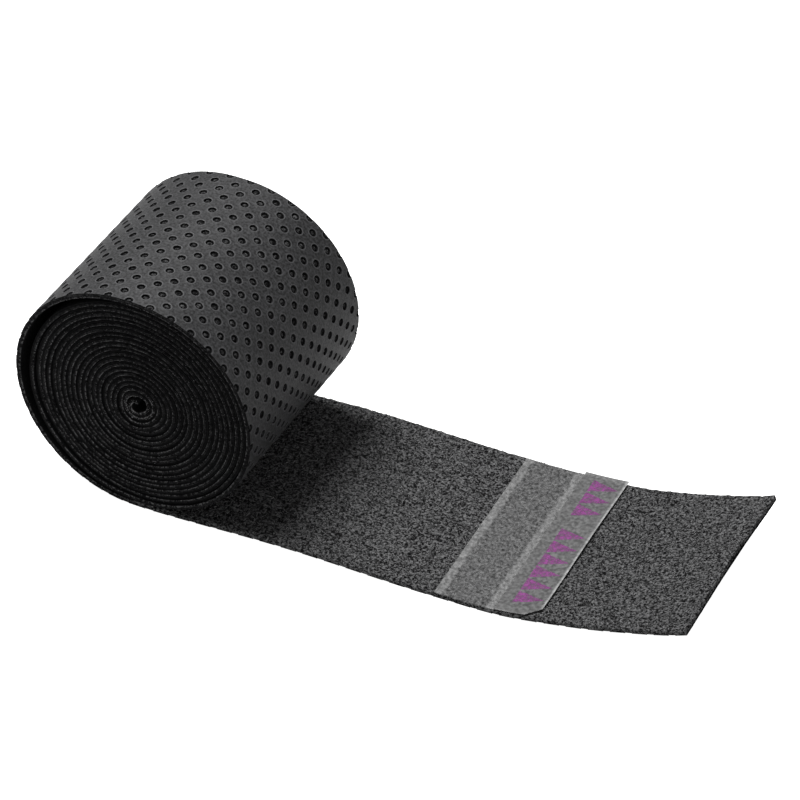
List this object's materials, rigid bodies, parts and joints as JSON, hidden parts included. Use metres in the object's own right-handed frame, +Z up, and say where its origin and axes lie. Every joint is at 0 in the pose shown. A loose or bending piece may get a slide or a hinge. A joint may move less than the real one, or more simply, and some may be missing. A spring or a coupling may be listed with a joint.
{
  "type": "grip tape roll",
  "caption": "Roll of perforated racket grip tape with a felt back and a loose, curling tail that carries an adhesive strip under a peel-off liner.",
  "frame": {"origin": "on the resting face, under the roll's axis, at the middle of the tape's width", "axes": "+X the way the tail leaves the roll, +Y along the roll's axis, +Z up"},
  "size_m": [0.0796, 0.0277, 0.0284],
  "materials": {
    "skin": "satin perforated synthetic leather",
    "felt": "matt non-woven felt",
    "film": "clear tacky film",
    "liner": "milky release film with a magenta print"
  },
  "bodies": {
    "roll": {"wound_skin": "skin", "wound_felt": "felt", "outer_skin": "skin", "outer_felt": "felt", "foot_skin": "skin", "foot_felt": "felt"},
    "tail_1": {"tail_skin_1": "skin", "tail_felt_1": "felt"},
    "tail_2": {"tail_skin_2": "skin", "tail_felt_2": "felt"},
    "tail_3": {"tail_skin_3": "skin", "tail_felt_3": "felt"},
    "tail_4": {"tail_skin_4": "skin", "tail_felt_4": "felt", "adhesive_film": "film"},
    "tail_5": {"tail_skin_5": "skin", "tail_felt_5": "felt"},
    "tail_6": {"tail_skin_6": "skin", "tail_felt_6": "felt"},
    "liner": {"release_liner": "liner"},
    "flap": {"pull_flap": "liner"}
  },
  "joints": [
    {"name": "tail_bend_1", "type": "hinge", "parent": "roll", "child": "tail_1", "pos_m": [0.00599, 0.00025, 0.0003], "axis": [0.0419, -0.9991, 0], "range_deg": [0, 20], "stiffness_Nm_per_rad": 0.0008},
    {"name": "tail_bend_2", "type": "hinge", "parent": "tail_1", "child": "tail_2", "pos_m": [0.01455, 0.00061, 0.0003], "axis": [0.0419, -0.9991, 0], "range_deg": [0, 20], "stiffness_Nm_per_rad": 0.0008},
    {"name": "tail_bend_3", "type": "hinge", "parent": "tail_2", "child": "tail_3", "pos_m": [0.02311, 0.00097, 0.0003], "axis": [0.0419, -0.9991, 0], "range_deg": [0, 20], "stiffness_Nm_per_rad": 0.0008},
    {"name": "tail_bend_4", "type": "hinge", "parent": "tail_3", "child": "tail_4", "pos_m": [0.03167, 0.00133, 0.0003], "axis": [0.0419, -0.9991, 0], "range_deg": [0, 20], "stiffness_Nm_per_rad": 0.0008},
    {"name": "tip_bend_1", "type": "hinge", "parent": "tail_4", "child": "tail_5", "pos_m": [0.04984, 0.00209, 0.00138], "axis": [0.0419, -0.9991, 0], "range_deg": [-8, 30], "stiffness_Nm_per_rad": 0.0008},
    {"name": "tip_bend_2", "type": "hinge", "parent": "tail_5", "child": "tail_6", "pos_m": [0.05684, 0.00238, 0.00307], "axis": [0.0419, -0.9991, 0], "range_deg": [-8, 30], "stiffness_Nm_per_rad": 0.0008},
    {"name": "liner_peel", "type": "hinge", "parent": "tail_4", "child": "liner", "pos_m": [0.03467, 0.00145, 0.00073], "axis": [0.0419, -0.9991, 0], "range_deg": [0, 135]},
    {"name": "flap_lift", "type": "hinge", "parent": "liner", "child": "flap", "pos_m": [0.04172, 0.00175, 0.00088], "axis": [0.0419, -0.9991, 0], "range_deg": [0, 160]}
  ],
  "couplings": [
    {"joint": "tail_bend_2", "follows": "tail_bend_1", "ratio": 1},
    {"joint": "tail_bend_3", "follows": "tail_bend_1", "ratio": 1},
    {"joint": "tail_bend_4", "follows": "tail_bend_1", "ratio": 1},
    {"joint": "tip_bend_2", "follows": "tip_bend_1", "ratio": 1}
  ]
}
